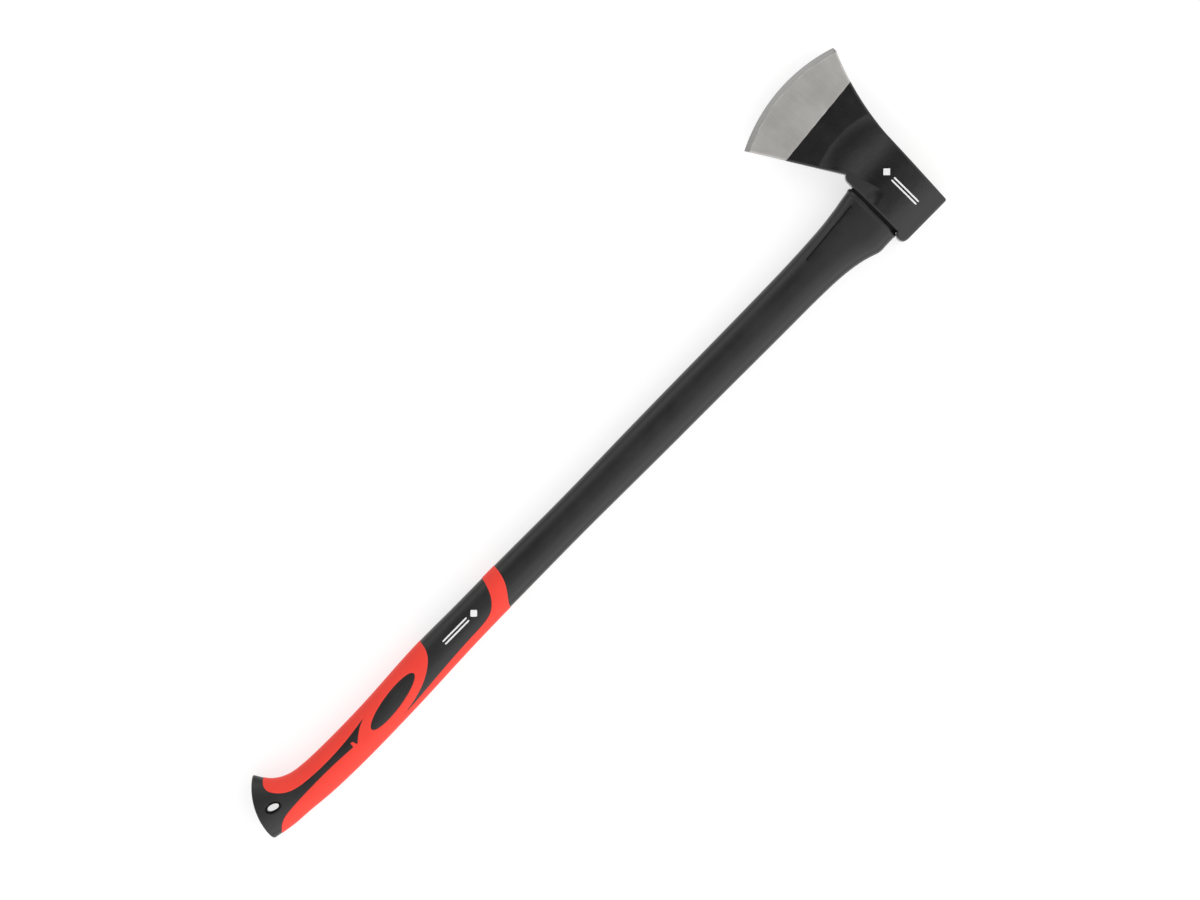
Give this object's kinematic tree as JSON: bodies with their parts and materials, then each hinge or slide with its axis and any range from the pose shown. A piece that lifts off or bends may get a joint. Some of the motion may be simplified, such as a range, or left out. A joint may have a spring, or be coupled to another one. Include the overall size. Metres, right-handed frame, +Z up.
{
  "type": "splitting maul",
  "caption": "Long-handled splitting maul with a fan-shaped forged head and a moulded two-colour handle with a hooked, slotted butt.",
  "frame": {"origin": "under the middle of the whole tool, level with the lower cheek of the head, which it lies on", "axes": "+X towards the cutting edge, +Y towards the butt of the handle, +Z up, out of the upper cheek"},
  "size_m": [0.191, 0.927, 0.05],
  "materials": {
    "head_steel": "black paint over forged steel, with a bare ground bit",
    "jacket_plastic": "satin moulded black",
    "grip_rubber": "soft matte red",
    "core_fibreglass": "pultruded glass fibre",
    "resin": "cast amber resin",
    "seal_rubber": "matte black"
  },
  "bodies": {
    "root": {"maul_head": "head_steel", "handle_jacket": "jacket_plastic", "grip_overmould": "grip_rubber", "fibreglass_core": "core_fibreglass", "eye_resin": "resin", "sealing_ring": "seal_rubber"}
  },
  "joints": []
}
